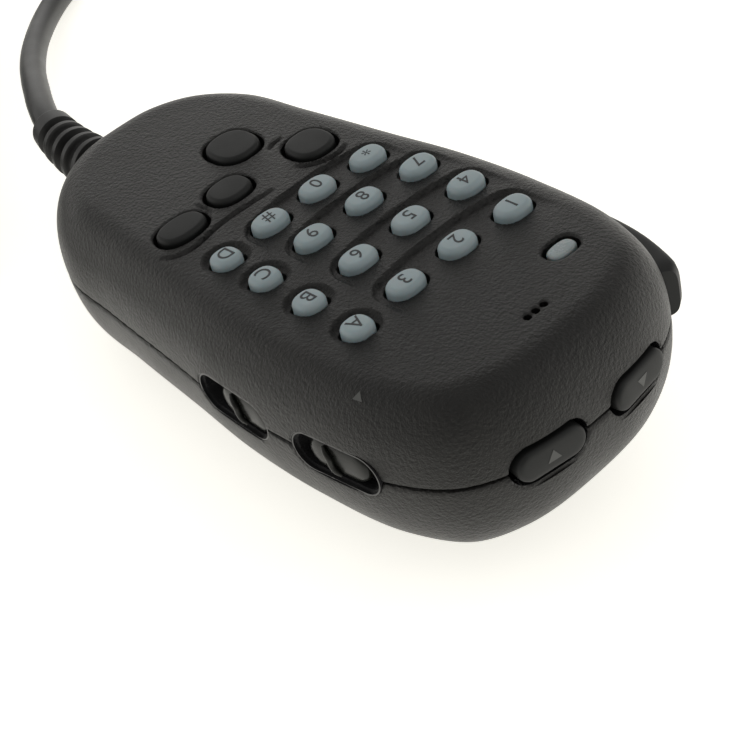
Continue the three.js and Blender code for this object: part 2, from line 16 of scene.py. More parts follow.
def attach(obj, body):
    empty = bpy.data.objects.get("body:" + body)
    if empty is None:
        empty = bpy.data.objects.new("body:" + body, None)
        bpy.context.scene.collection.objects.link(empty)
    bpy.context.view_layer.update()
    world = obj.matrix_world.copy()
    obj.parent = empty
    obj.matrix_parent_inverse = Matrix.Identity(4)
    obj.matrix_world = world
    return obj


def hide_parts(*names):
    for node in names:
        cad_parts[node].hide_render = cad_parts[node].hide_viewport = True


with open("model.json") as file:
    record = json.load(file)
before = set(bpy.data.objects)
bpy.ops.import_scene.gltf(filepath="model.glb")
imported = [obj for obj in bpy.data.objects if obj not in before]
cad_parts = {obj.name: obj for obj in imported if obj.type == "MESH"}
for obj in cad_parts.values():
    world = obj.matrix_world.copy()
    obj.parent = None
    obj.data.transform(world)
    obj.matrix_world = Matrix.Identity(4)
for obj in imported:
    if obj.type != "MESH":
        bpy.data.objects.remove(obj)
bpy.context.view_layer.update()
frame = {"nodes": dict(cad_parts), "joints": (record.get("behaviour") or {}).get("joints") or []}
scene = bpy.context.scene

# ---------------------------------------------------------------- driving dimensions

MM = 0.001
TILT = math.radians(4.6)
CASE_AT = Vector((1.76, 23.48, 22.36)) * MM
CASE = Matrix.Translation(CASE_AT) @ Matrix.Rotation(TILT, 4, "X") @ Matrix.Scale(MM, 4)

GAP = 0.3
FRONT_HEIGHT = 13.8
REAR_DEPTH = 17.9
FRONT_SHOULDER = (7.9, 2.2)         # inset of the flat face, power of the rounding
REAR_SHOULDER = (11.2, 2.1)
WALL = 2.2
FACE_UNDERSIDE = 10
CROWN = 0.0006                      # the face falls away from its middle by this times x squared
HALF_OUTLINE = [
    (0, 46), (13.3, 44.6), (23.1, 39.1), (28.4, 27.9), (30, 11.5), (29.6, -4.5),
    (27.8, -19.2), (25.6, -37.7), (23.6, -51.5), (17.3, -61.6), (8.7, -66.6), (0, -67.5),
]
OUTLINE_STEPS = 240
SKIN_DETAIL = 0.32
BACK_DETAIL = 0.5

KEY_ROWS = [("1", "2", "3"), ("4", "5", "6"), ("7", "8", "9"), ("star", "0", "hash")]
LETTER_KEYS = ["a", "b", "c", "d"]
MEMORY_KEYS = ["key_p1", "key_p2", "key_p3", "key_p4"]
SIGNS = {"star": "*", "hash": "#"}
SCOOP = {"above": 5.2, "below": (6, 5, 5, 4.7), "ends": 4.7, "depth": 0.8, "riser": 0.6,
         "corner": 3.2, "smile": 1.8}
KEY_HOLE = {"grow": 0.5, "aside": (-0.35, -0.35)}     # a cap stands off the middle of its hole
LETTER_DISH = {"radius": 4.2, "aside": (-0.4, -0.5), "depth": 1.2}
MEMORY_HOLE = 0.65
LEGEND_SIZE = 3.55
SCAN_MARGIN = 1.7                   # a scan button's recess is this much larger than the button
RECESS_EDGE = 0.35                  # rounding of the edges of the side recesses
RECESS_STEP = {"depth": 0.8, "wider": 0.7, "lower": 0.35}
LOCK_MARK = {"at": (25.2, 24.6), "size": 0.85}
BAR = {"stands": 3.5, "inside": 3.5, "rounding": 3, "power": 3.8}
RIB = {"path": [(-2.2, 2.3, -0.9), (-1.6, 1.4, -0.55), (-1.05, 0.4, -0.5), (-0.9, -0.6, -0.5),
                (-0.4, -1.6, -0.55), (0.3, -2.4, -0.9)], "radius": 0.5}

SCREWS = [(17, 34.2), (-17, 34.2), (16, -47), (-16, -47)]
HANGER_Y = 14
BOOT_PATH = [(0, -63, 1), (0, -70, 1), (-0.3, -78, 1.1), (-1.3, -85.5, 1.3), (-3, -92.5, 1.5)]
BOOT = {"radius": 5.7, "tip": 3.95, "neck": 4.6, "neck_radius": 3.9, "band": 4.2, "pitch": 3.6,
        "groove": 1.3}

# The cord's route in metres, on the floor at z = 0, as in the frame: the lead comes down, loops
# round and meets the curl, which runs straight to the tail and its plug.
CORD_DIAMETER = 0.0053
CORD_INSIDE = (-0.0004, -0.06592, 0.0166)        # a little inside the strain relief's tip
LEAD = [
    (-0.0015, -0.06952, 0.0164), (-0.0026, -0.07232, 0.0163), (-0.0041, -0.07552, 0.0159),
    (-0.0062, -0.07972, 0.015), (-0.0089, -0.08462, 0.0138), (-0.0124, -0.09092, 0.0121),
    (-0.0166, -0.09772, 0.0102), (-0.0224, -0.10582, 0.0079), (-0.0284, -0.11282, 0.006),
    (-0.0349, -0.11912, 0.0045), (-0.041, -0.12392, 0.0035), (-0.0458, -0.12682, 0.003),
]
CORD_Z = 0.0028
LOOP = {"x": -0.0405, "y": -0.14322, "radius": 0.017, "from": 122, "to": 325, "points": 40}
CURL = {"heading": 55, "length": 0.11, "z": 0.0084, "radius": 0.0056, "pitch": 0.0054, "easing": 0.026}
TAIL_LENGTH = 0.018

# Light from the tent: each soft patch has its direction in the frame, strength and narrowness.
SKY = {"all round": 0.02,
       "patches": [((0, 0, 1), 0.55, 3), ((-0.58, -0.76, 0.29), 1.4, 8), ((0.52, 0.68, 0.52), 0.25, 3),
                   ((0.69, -0.69, 0.22), 1.25, 4), ((-0.69, 0.69, 0.22), 1.2, 4)]}
TABLE_GLOW = 0.72

CAMERA = {"at": (0.14022, 0.20076, 0.21592), "right": (-0.7018, 0.6981, -0.1419),
          "up": (-0.5566, -0.4130, 0.7208), "lens": 91.2, "sensor": 36}

# ---------------------------------------------------------------- curves and meshes


def spline(points, closed=False, steps=24):
    """Points along the centripetal Catmull-Rom curve through the given ones."""
    p = np.array(points, float)
    ends = (p[-1:], p[:2]) if closed else (2 * p[:1] - p[1:2], 2 * p[-1:] - p[-2:-1])
    p = np.vstack([ends[0], p, ends[1]])
    t = np.linspace(0, 1, steps, endpoint=False)[:, None]
    runs = []
    for a, b, c, d in zip(p, p[1:], p[2:], p[3:]):
        u, v, w = (math.sqrt(np.linalg.norm(leg)) for leg in (b - a, c - b, d - c))
        leave = ((b - a) / u - (c - a) / (u + v) + (c - b) / v) * v
        reach = ((c - b) / v - (d - b) / (v + w) + (d - c) / w) * v
        runs.append(b + leave * t + (3 * (c - b) - 2 * leave - reach) * t**2
                    + (2 * (b - c) + leave + reach) * t**3)
    if not closed:
        runs.append(p[-2:-1])
    return np.vstack(runs)


def spaced(path, count, closed=False):
    """The same path with its points evenly spaced."""
    if closed:
        path = np.vstack([path, path[:1]])
    length = np.r_[0, np.cumsum(np.linalg.norm(np.diff(path, axis=0), axis=1))]
    at = np.linspace(0, length[-1], count, endpoint=not closed)
    return np.column_stack([np.interp(at, length, path[:, k]) for k in range(path.shape[1])])


def smoothstep(low, high, value):
    share = np.clip((value - low) / (high - low), 0, 1)
    return share * share * (3 - 2 * share)


def mesh_object(name, vertices, faces):
    mesh = bpy.data.meshes.new(name)
    mesh.from_pydata([tuple(v) for v in vertices], [], faces)
    mesh.validate()
    obj = bpy.data.objects.new(name, mesh)
    scene.collection.objects.link(obj)
    return obj


def loft(name, rings, closed_ends=True):
    """A skin over counter-clockwise rings that follow each other upwards."""
    n = len(rings[0])
    faces = [(k * n + i, k * n + (i + 1) % n, (k + 1) * n + (i + 1) % n, (k + 1) * n + i)
             for k in range(len(rings) - 1) for i in range(n)]
    if closed_ends:
        faces.append(tuple(reversed(range(n))))
        faces.append(tuple(range((len(rings) - 1) * n, len(rings) * n)))
    return mesh_object(name, np.vstack(rings), faces)


def oval(width, height, z, power=2.5, steps=64):
    angle = (np.arange(steps) + 0.5) / steps * 2 * math.pi
    c, s = np.cos(angle), np.sin(angle)
    x = np.sign(c) * np.abs(c) ** (2 / power) * width / 2
    y = np.sign(s) * np.abs(s) ** (2 / power) * height / 2
    return np.column_stack([x, y, np.full(steps, float(z))])


def racetrack(length, height, z, steps=24):
    radius = height / 2
    angle = (np.arange(steps) / (steps - 1) - 0.5) * math.pi
    right = np.column_stack([length / 2 - radius + np.cos(angle) * radius, np.sin(angle) * radius])
    return np.column_stack([np.vstack([right, -right]), np.full(2 * steps, float(z))])


def turned(name, profile, steps=64):
    """A solid of revolution about Z from (radius, z) pairs that go upwards on the outside."""
    angle = np.arange(steps) / steps * 2 * math.pi
    rings = [np.column_stack([r * np.cos(angle), r * np.sin(angle), np.full(steps, float(z))])
             for r, z in profile]
    return loft(name, rings)


def baked(obj):
    """Applies the object's modifiers to its mesh."""
    bpy.context.view_layer.update()
    graph = bpy.context.evaluated_depsgraph_get()
    mesh = bpy.data.meshes.new_from_object(obj.evaluated_get(graph), depsgraph=graph)
    mesh.name = obj.name
    obj.modifiers.clear()
    obj.data = mesh
    return obj


def modified(obj, kind, **settings):
    modifier = obj.modifiers.new(kind.lower(), kind)
    for key, value in settings.items():
        setattr(modifier, key, value)
    return baked(obj)


def cut(obj, *tools, how="DIFFERENCE"):
    """Cuts the tools out of the object, or joins them to it, and removes them."""
    for tool in tools:
        modified(obj, "BOOLEAN", operation=how, object=tool, solver="MANIFOLD")
        bpy.data.objects.remove(tool)
    return obj


def finished_in(obj, *materials):
    obj.data.materials.clear()
    for material in materials:
        obj.data.materials.append(material)


def joined(name, parts):
    """One mesh of several that don't touch."""
    offset, vertices, faces = 0, [], []
    for part in parts:
        vertices += [tuple(v.co) for v in part.data.vertices]
        faces += [tuple(offset + i for i in p.vertices) for p in part.data.polygons]
        offset = len(vertices)
        bpy.data.objects.remove(part)
    return mesh_object(name, vertices, faces)


def moved(obj, matrix):
    obj.data.transform(matrix)
    return obj


def points_of(obj):
    co = np.zeros(len(obj.data.vertices) * 3)
    obj.data.vertices.foreach_get("co", co)
    return co.reshape(-1, 3)


def set_points(obj, points):
    obj.data.vertices.foreach_set("co", points.ravel())
    obj.data.update()


def settle(obj, body, material, sharp=35, matrix=CASE, stands_for=()):
    """Turns a finished mesh into the frame's metres and gives it its body and material."""
    obj.data.transform(matrix)
    obj.data.polygons.foreach_set("use_smooth", [True] * len(obj.data.polygons))
    obj.data.set_sharp_from_angle(angle=math.radians(sharp))
    if len(obj.data.materials) < 2:
        finished_in(obj, material)
    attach(obj, body)
    if stands_for:
        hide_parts(*stands_for)
    return obj


# ---------------------------------------------------------------- reading the frame


def case_points(node):
    """A frame node's vertices in the case frame, in millimetres."""
    back = np.array(CASE.inverted())
    co = points_of(frame["nodes"][node])
    return co @ back[:3, :3].T + back[:3, 3]


def plan(node):
    """Middle, width and height of a face-side node, its underside and its top."""
    co = case_points(node)
    low, high = co.min(0), co.max(0)
    upper = co[co[:, 2] > high[2] - 2.2]
    size = upper.max(0) - upper.min(0)
    return {"x": (low[0] + high[0]) / 2, "y": (low[1] + high[1]) / 2,
            "width": size[0], "height": size[1], "bottom": low[2], "top": high[2]}


def side_frame(node, joint_name, axis_is_out):
    """Matrix from a side control's own frame: X along the edge, Y up the wall, Z outwards."""
    joint = next(j for j in frame["joints"] if j["name"] == joint_name)
    axis = (CASE.to_3x3().inverted() @ Vector(joint["axis"])).normalized()
    up = Vector((0, 0, 1))
    out = -axis if axis_is_out else axis.cross(up)
    along = up.cross(out)
    turn = Matrix((along, up, out)).transposed().to_4x4()
    own = case_points(node) @ np.array(turn)[:3, :3]
    low, high = own.min(0), own.max(0)
    middle = (low + high) / 2
    size = high - low
    return turn @ Matrix.Translation((middle[0], middle[1], high[2])), size


# ---------------------------------------------------------------- materials


def new_material(name):
    material = bpy.data.materials.new(name)
    material.use_nodes = True
    tree = material.node_tree
    return material, tree, tree.nodes["Principled BSDF"]


def add(tree, kind, settings=None, **inputs):
    """A node with its settings, and its inputs set or linked."""
    made = tree.nodes.new(kind)
    for key, value in (settings or {}).items():
        setattr(made, key, value)
    for key, value in inputs.items():
        socket = made.inputs[int(key[1:])] if key[0] == "i" and key[1:].isdigit() else made.inputs[key]
        if isinstance(value, bpy.types.NodeSocket):
            tree.links.new(value, socket)
        else:
            socket.default_value = value
    return made


def place(tree):
    return add(tree, "ShaderNodeTexCoord").outputs["Object"]


def noise(tree, size, detail=3.0, roughness=0.55, vector=None):
    """Noise whose features are about this many millimetres across."""
    made = add(tree, "ShaderNodeTexNoise", None, Vector=vector or place(tree), Scale=1000 / size,
               Detail=detail, Roughness=roughness)
    return made.outputs["Fac"]


def ranged(tree, value, low, high, start=0.3, end=0.7):
    """The value's usual span, start to end, spread over low to high."""
    made = add(tree, "ShaderNodeMapRange", None, i0=value, i1=start, i2=end, i3=low, i4=high)
    return made.outputs[0]


def blend_colours(tree, share, first, second):
    made = add(tree, "ShaderNodeMix", {"data_type": "RGBA"}, i0=share)
    made.inputs[6].default_value = (*first, 1)
    made.inputs[7].default_value = (*second, 1)
    return made.outputs[2]


def sums(tree, first, second, weight):
    made = add(tree, "ShaderNodeMath", {"operation": "MULTIPLY_ADD"}, i0=second, i1=weight, i2=first)
    return made.outputs[0]


def moulded(name, dark, light, roughness, grain=0.25, relief=0.01, drift=7.0, **sockets):
    """Moulded plastic or rubber: colour that drifts a little, uneven gloss and a fine grain."""
    material, tree, shader = new_material(name)
    wide = noise(tree, drift, 4.0)
    fine = noise(tree, grain, 2.0)
    colour = blend_colours(tree, ranged(tree, wide, 0, 1), dark, light)
    tree.links.new(colour, shader.inputs["Base Color"])
    gloss = sums(tree, ranged(tree, wide, roughness - 0.05, roughness + 0.05), fine, 0.08)
    tree.links.new(gloss, shader.inputs["Roughness"])
    bump = add(tree, "ShaderNodeBump", None, Strength=1.0, Distance=relief * MM, Height=fine)
    tree.links.new(bump.outputs[0], shader.inputs["Normal"])
    for key, value in sockets.items():
        shader.inputs[key.replace("_", " ")].default_value = value
    return material


def leather_plastic(name):
    """Black plastic with a spark-eroded, leather-like grain."""
    material, tree, shader = new_material(name)
    warp = add(tree, "ShaderNodeTexNoise", None, Vector=place(tree), Scale=1000 / 1.1, Detail=2.0)
    centred = add(tree, "ShaderNodeVectorMath", {"operation": "SUBTRACT"}, i0=warp.outputs["Color"])
    centred.inputs[1].default_value = (0.5, 0.5, 0.5)
    bent = add(tree, "ShaderNodeVectorMath", {"operation": "MULTIPLY_ADD"}, i0=centred.outputs[0])
    bent.inputs[1].default_value = (0.0004, 0.0004, 0.0004)
    tree.links.new(place(tree), bent.inputs[2])
    cells = add(tree, "ShaderNodeTexVoronoi", {"feature": "SMOOTH_F1"}, Vector=bent.outputs[0],
                Scale=1000 / 0.55)
    fine = noise(tree, 0.24, 2.0, 0.6)
    height = sums(tree, ranged(tree, cells.outputs["Distance"], 1, 0, 0.1, 0.75), fine, 1.7)
    bump = add(tree, "ShaderNodeBump", None, Strength=1.0, Distance=0.1 * MM, Height=height)
    tree.links.new(bump.outputs[0], shader.inputs["Normal"])
    wear = noise(tree, 9.0, 4.0)
    colour = blend_colours(tree, ranged(tree, wear, 0, 1), (0.005, 0.0049, 0.0045),
                           (0.0095, 0.0092, 0.0083))
    tree.links.new(colour, shader.inputs["Base Color"])
    gloss = sums(tree, ranged(tree, wear, 0.27, 0.36), fine, 0.06)
    tree.links.new(gloss, shader.inputs["Roughness"])
    shader.inputs["Specular IOR Level"].default_value = 0.3
    return material


def brushed(name, dark, light, roughness):
    """Plated metal with fine drawn lines."""
    material, tree, shader = new_material(name)
    lines = add(tree, "ShaderNodeMapping", None, Vector=place(tree))
    lines.inputs["Scale"].default_value = (1, 1, 9)
    drawn = noise(tree, 0.5, 3.0, vector=lines.outputs[0])
    tree.links.new(blend_colours(tree, drawn, dark, light), shader.inputs["Base Color"])
    tree.links.new(ranged(tree, drawn, roughness - 0.08, roughness + 0.1), shader.inputs["Roughness"])
    bump = add(tree, "ShaderNodeBump", None, Strength=0.5, Distance=0.004 * MM, Height=drawn)
    tree.links.new(bump.outputs[0], shader.inputs["Normal"])
    shader.inputs["Metallic"].default_value = 1.0
    return material


def board_material(name):
    """Green solder mask over copper tracks."""
    material, tree, shader = new_material(name)
    tracks = add(tree, "ShaderNodeTexBrick", {"offset": 0.37}, Vector=place(tree), Scale=240.0)
    tracks.inputs["Color1"].default_value = (0.02, 0.13, 0.06, 1)
    tracks.inputs["Color2"].default_value = (0.025, 0.16, 0.07, 1)
    tracks.inputs["Mortar"].default_value = (0.06, 0.26, 0.12, 1)
    tracks.inputs["Mortar Size"].default_value = 0.03
    tree.links.new(tracks.outputs["Color"], shader.inputs["Base Color"])
    tree.links.new(ranged(tree, noise(tree, 2.0), 0.25, 0.4), shader.inputs["Roughness"])
    bump = add(tree, "ShaderNodeBump", None, Strength=0.6, Distance=0.03 * MM, Height=tracks.outputs["Fac"])
    tree.links.new(bump.outputs[0], shader.inputs["Normal"])
    return material


LEATHER = leather_plastic("leather_black_plastic")
SMOOTH_BLACK = moulded("smooth_black_plastic", (0.012, 0.012, 0.013), (0.02, 0.02, 0.021), 0.22, 0.5, 0.004)
KEY_GREY = moulded("key_cap_grey", (0.25, 0.315, 0.335), (0.30, 0.365, 0.385), 0.40, 0.3, 0.006,
                   Subsurface_Weight=0.15, Subsurface_Scale=0.0008)
KEY_DARK = moulded("memory_key_dark", (0.005, 0.0056, 0.0054), (0.008, 0.0088, 0.0084), 0.5, 0.18, 0.01,
                   Specular_IOR_Level=0.3)
INK = moulded("legend_ink", (0.012, 0.014, 0.016), (0.02, 0.022, 0.025), 0.5, 0.2, 0.004)
SLIDER_GLOSS = moulded("slider_gloss", (0.008, 0.0085, 0.0072), (0.012, 0.0125, 0.011), 0.24, 0.4, 0.004,
                       Specular_IOR_Level=0.25)
RUBBER = moulded("boot_rubber", (0.008, 0.008, 0.008), (0.013, 0.013, 0.0125), 0.42, 0.3, 0.012)
CORD_RUBBER = moulded("cord_rubber", (0.02, 0.021, 0.0205), (0.03, 0.0305, 0.029), 0.38, 0.35, 0.012)
MAT_RUBBER = moulded("keypad_silicone", (0.14, 0.15, 0.155), (0.18, 0.19, 0.195), 0.62, 0.3, 0.01)
MILKY = moulded("milky_lens", (0.22, 0.265, 0.275), (0.28, 0.325, 0.335), 0.25, 0.4, 0.003,
                Subsurface_Weight=0.3, Subsurface_Scale=0.001)
MARK_GREY = moulded("mark_grey", (0.05, 0.052, 0.05), (0.072, 0.074, 0.07), 0.5, 0.2, 0.004)
NYLON = moulded("white_nylon", (0.62, 0.6, 0.55), (0.72, 0.7, 0.66), 0.45, 0.3, 0.008)
SWITCH_BLACK = moulded("switch_black", (0.02, 0.02, 0.021), (0.032, 0.032, 0.033), 0.4, 0.3, 0.008)
STEEL = brushed("plated_steel", (0.42, 0.42, 0.43), (0.62, 0.62, 0.62), 0.32)
BOARD = board_material("solder_mask_green")
CLEAR = moulded("clear_polycarbonate", (0.9, 0.92, 0.92), (0.95, 0.96, 0.96), 0.1, 0.6, 0.002,
                Transmission_Weight=0.92, IOR=1.58)

# ---------------------------------------------------------------- camera, light and floor


def camera():
    right, up = Vector(CAMERA["right"]), Vector(CAMERA["up"])
    back = right.cross(up)
    data = bpy.data.cameras.new("camera")
    data.lens = CAMERA["lens"]
    data.sensor_width = CAMERA["sensor"]
    obj = bpy.data.objects.new("camera", data)
    turn = Matrix((right, up, back)).transposed().to_4x4()
    obj.matrix_world = Matrix.Translation(CAMERA["at"]) @ turn
    scene.collection.objects.link(obj)
    scene.camera = obj


def studio():
    """A lit white table in a light tent that is bright on both sides and dark towards the camera."""
    world = bpy.data.worlds.new("tent")
    world.use_nodes = True
    tree = world.node_tree
    at = add(tree, "ShaderNodeTexCoord").outputs["Generated"]
    total = add(tree, "ShaderNodeValue").outputs[0]
    total.default_value = SKY["all round"]
    for way, strength, narrow in SKY["patches"]:
        along = add(tree, "ShaderNodeVectorMath", {"operation": "DOT_PRODUCT"}, i0=at, i1=way)
        facing = add(tree, "ShaderNodeMath", {"operation": "MAXIMUM"}, i0=along.outputs["Value"], i1=0.0)
        patch = add(tree, "ShaderNodeMath", {"operation": "POWER"}, i0=facing.outputs[0], i1=narrow)
        total = sums(tree, total, patch.outputs[0], strength)
    background = tree.nodes["Background"]
    background.inputs["Color"].default_value = (1, 0.985, 0.96, 1)
    tree.links.new(total, background.inputs["Strength"])
    scene.world = world
    floor = mesh_object("floor", [(-3, -3, 0), (3, -3, 0), (3, 3, 0), (-3, 3, 0)], [(0, 1, 2, 3)])
    table = moulded("pale_table", (0.86, 0.86, 0.85), (0.88, 0.88, 0.87), 0.7, 2.0, 0.01)
    glow = table.node_tree.nodes["Principled BSDF"].inputs
    glow["Emission Color"].default_value = (1, 0.98, 0.9, 1)
    glow["Emission Strength"].default_value = TABLE_GLOW
    floor.data.materials.append(table)
    scene.view_settings.view_transform = "Standard"


# ---------------------------------------------------------------- cord


def loop_path():
    angle = np.radians(np.linspace(LOOP["from"], LOOP["to"], LOOP["points"]))
    return np.column_stack([LOOP["x"] + LOOP["radius"] * np.cos(angle),
                            LOOP["y"] + LOOP["radius"] * np.sin(angle),
                            np.full(len(angle), CORD_Z)])


def curl_path(start, way, steps=1200):
    """The curly part: it winds up from the lead, keeps its pitch and unwinds into the tail."""
    length = CURL["length"]
    along = np.linspace(0, length, steps)
    pace = smoothstep(0, CURL["easing"], along) * smoothstep(0, CURL["easing"], length - along)
    turns = np.cumsum(pace) * (length / steps) / CURL["pitch"]
    angle = turns * round(turns[-1]) / turns[-1] * 2 * math.pi
    rise = CURL["z"] - CURL["radius"] * np.cos(angle)
    sway = CURL["radius"] * np.sin(angle)
    side = np.array((way[1], -way[0]))
    return np.column_stack([start[:2] + np.outer(along, way) + np.outer(sway, side), rise])


def cord_points():
    lead = spaced(spline([CORD_INSIDE, *LEAD, *loop_path()]), 160)
    heading = math.radians(CURL["heading"])
    way = np.array((math.cos(heading), math.sin(heading)))
    curl = curl_path(lead[-1], way)
    tail = curl[-1] + np.outer((0.3, 0.6, 1), (*(way * TAIL_LENGTH), 0))
    return np.vstack([lead[:-1], curl, tail])


def cord():
    points = cord_points()
    curve = bpy.data.curves.new("curly_cord", "CURVE")
    curve.dimensions = "3D"
    spline_data = curve.splines.new("POLY")
    spline_data.points.add(len(points) - 1)
    spline_data.points.foreach_set("co", np.column_stack([points, np.ones(len(points))]).ravel())
    curve.bevel_depth = CORD_DIAMETER / 2
    curve.bevel_resolution = 6
    curve.use_fill_caps = True
    curve.materials.append(CORD_RUBBER)
    obj = bpy.data.objects.new("curly_cord", curve)
    scene.collection.objects.link(obj)
    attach(obj, "case")
    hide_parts("cord_lead", "cord_curl", "cord_tail")


camera()
studio()
cord()

# ---------------------------------------------------------------- case


def case_outline():
    """The parting line, counter-clockwise, and its outward directions."""
    right = [(x, y) for x, y in HALF_OUTLINE]
    left = [(-x, y) for x, y in reversed(HALF_OUTLINE[1:-1])]
    line = spaced(spline(right + left, closed=True), OUTLINE_STEPS, closed=True)[::-1]
    ahead = np.roll(line, -1, axis=0) - np.roll(line, 1, axis=0)
    ahead /= np.linalg.norm(ahead, axis=1)[:, None]
    return line, np.column_stack([ahead[:, 1], -ahead[:, 0]])


OUTLINE, OUTWARD = case_outline()


def ring(inset, z):
    return np.column_stack([OUTLINE - inset * OUTWARD, np.full(len(OUTLINE), float(z))])


def shoulder(start, height, inset, power, steps=26):
    rings = []
    for k in range(steps + 1):
        angle = k / steps * math.pi / 2
        reach = 1 - max(math.cos(angle), 0) ** (2 / power)
        rings.append(ring(reach * inset, start + (height - start) * math.sin(angle) ** (2 / power)))
    return rings


DIGITS = {name: plan(f"key_{name}") for row in KEY_ROWS for name in row}
LETTERS = {name: plan(f"key_{name}") for name in LETTER_KEYS}
MEMORIES = {name: plan(name) for name in MEMORY_KEYS}
LENS = plan("indicator_lens")
MIC = plan("mic_capsule")
SCANS = {name: side_frame(name, f"{name}_press", True) for name in ("up_button", "down_button")}
SLIDERS = {name: side_frame(f"{name}_slider", f"{name}_slide", False) for name in ("lock", "lamp")}


def oval_distance(x, y, place_, grow=0.0, power=2.5):
    """About how far outside an oval a point is; negative inside."""
    a = place_["width"] / 2 + grow
    b = place_["height"] / 2 + grow
    across, upwards = np.abs(x - place_["x"]) / a, np.abs(y - place_["y"]) / b
    reach = (across**power + upwards**power) ** (1 / power)
    return (reach - 1) * math.sqrt(a * b)


def rounded_box_distance(x, y, half_x, half_y, corner):
    qx, qy = np.abs(x) - half_x + corner, np.abs(y) - half_y + corner
    return np.hypot(np.maximum(qx, 0), np.maximum(qy, 0)) + np.minimum(np.maximum(qx, qy), 0) - corner


def rounding(distance, radius=RECESS_EDGE):
    """Depth of a rounded edge at this distance outside a hole."""
    inwards = np.clip(radius - distance, 0, radius)
    return radius - np.sqrt(np.maximum(radius**2 - inwards**2, 0))


def scoop_depth(x, y, row, below):
    """A row's scoop: its floor sinks towards the cord end and stops at a curved riser."""
    keys = [DIGITS[name] for name in row]
    left, right = keys[0]["x"] - SCOOP["ends"], keys[-1]["x"] + SCOOP["ends"]
    middle, half = (left + right) / 2, (right - left) / 2
    level = sum(k["y"] for k in keys) / len(keys)
    v = y - level - SCOOP["smile"] * ((x - middle) / half) ** 2
    reach = SCOOP["above"] + below
    beyond = 6                      # the scoop's outline runs on past its shallow end
    wall = rounded_box_distance(x - middle, v - (SCOOP["above"] + beyond - below) / 2, half,
                                (reach + beyond) / 2, SCOOP["corner"])
    sunk = np.clip((SCOOP["above"] - v) / reach, 0, 1) ** 1.25
    return SCOOP["depth"] * sunk * smoothstep(SCOOP["riser"] / 2, -SCOOP["riser"] / 2, wall)


def dish_depth(x, y, key):
    """A letter key's dish: a round hollow that slopes down towards the cord end."""
    dx, dy = x - key["x"] - LETTER_DISH["aside"][0], y - key["y"] - LETTER_DISH["aside"][1]
    rim = np.hypot(dx, dy) - LETTER_DISH["radius"]
    slope = np.clip(0.5 - (0.45 * dx + 0.9 * dy) / 5.5, 0, 1)
    return LETTER_DISH["depth"] * slope * smoothstep(0.1, -0.9, rim)


def groove_depth(x, y, path, width, depth):
    """A crescent groove along a curved line, deepest at its middle, steep on the cord side."""
    line = spaced(spline(path), 60)
    gap = np.hypot(x[:, None] - line[:, 0], y[:, None] - line[:, 1])
    near = gap.argmin(1)
    side = np.sign(y - line[near, 1])
    away = side * gap.min(1)
    share = near / (len(line) - 1)
    swell = np.sqrt(np.maximum(np.sin(share * math.pi), 0))
    profile = smoothstep(width, 0, np.maximum(away, 0)) * smoothstep(-0.45, 0, np.minimum(away, 0))
    return depth * swell * profile


GROOVES = [
    ([(-16.4, -21.2), (-13.8, -20.5), (-11, -21), (-8.9, -22.3), (-7.6, -24.1)], 1.0, 0.9),
    ([(-1.6, -22.2), (4, -22.9), (10, -23), (16.4, -22.2), (19.3, -23.1), (20.9, -25)], 1.0, 0.9),
    ([(-12.2, -32.4), (-10.2, -32.4), (-8.4, -31.6)], 0.8, 0.6),
    ([(8.4, -30.4), (8.1, -28.4), (8.9, -26)], 0.8, 0.5),
]
SOUND_HOLES = {"radius": 0.65, "pitch": 1.7}


def sound_hole_places():
    return [(MIC["x"] + k * SOUND_HOLES["pitch"], MIC["y"]) for k in (-1, 0, 1)]


def face_relief(x, y):
    """How far the face lies below its plain height."""
    depth = CROWN * x**2
    for row, below in zip(KEY_ROWS, SCOOP["below"]):
        depth = depth + scoop_depth(x, y, row, below)
    for key in LETTERS.values():
        depth = depth + dish_depth(x, y, key)
    for path, width, deep in GROOVES:
        depth = depth + groove_depth(x, y, path, width, deep)
    for key in (*DIGITS.values(), *LETTERS.values()):
        depth = depth + rounding(oval_distance(x, y, hole_of(key), KEY_HOLE["grow"]), 0.2)
    for key in MEMORIES.values():
        depth = depth + rounding(oval_distance(x, y, key, MEMORY_HOLE, 2.4), 0.4)
    depth = depth + rounding(oval_distance(x, y, LENS, 0.6), 0.5)
    for hx, hy in sound_hole_places():
        depth = depth + rounding(np.hypot(x - hx, y - hy) - SOUND_HOLES["radius"], 0.3)
    return depth


def hole_of(key):
    aside = KEY_HOLE["aside"]
    return {**key, "x": key["x"] + aside[0], "y": key["y"] + aside[1]}


def oval_tool(place_, grow, low=8.0, high=17.0, power=2.5):
    width, height = place_["width"] + 2 * grow, place_["height"] + 2 * grow
    tool = loft("tool", [oval(width, height, low, power), oval(width, height, high, power)])
    return moved(tool, Matrix.Translation((place_["x"], place_["y"], 0)))


def peg(radius, low, high, x, y, steps=32):
    return moved(turned("tool", [(radius, low), (radius, high)], steps), Matrix.Translation((x, y, 0)))


SCAN_RECESSES = [{"frame": own, "length": size[0] + SCAN_MARGIN, "height": size[1] + SCAN_MARGIN,
                  "edge": RECESS_EDGE} for own, size in SCANS.values()]


def slide_recesses():
    """Each slide recess lies where the frame's slide switch does."""
    recesses = []
    for name, (own, _) in SLIDERS.items():
        turn = own.to_3x3().to_4x4()
        switch = case_points(f"{name}_switch") @ np.array(turn)[:3, :3]
        low, high = switch.min(0), switch.max(0)
        middle = (low + high) / 2
        matrix = turn @ Matrix.Translation((middle[0], middle[1], high[2] + 3))
        recesses.append({"frame": matrix, "length": high[0] - low[0] + 2 * GAP,
                         "height": high[1] - low[1] + 2 * GAP, "edge": RECESS_EDGE / 2, "switch": name})
    return recesses


SLIDE_RECESSES = slide_recesses()
RECESSES = SCAN_RECESSES + SLIDE_RECESSES


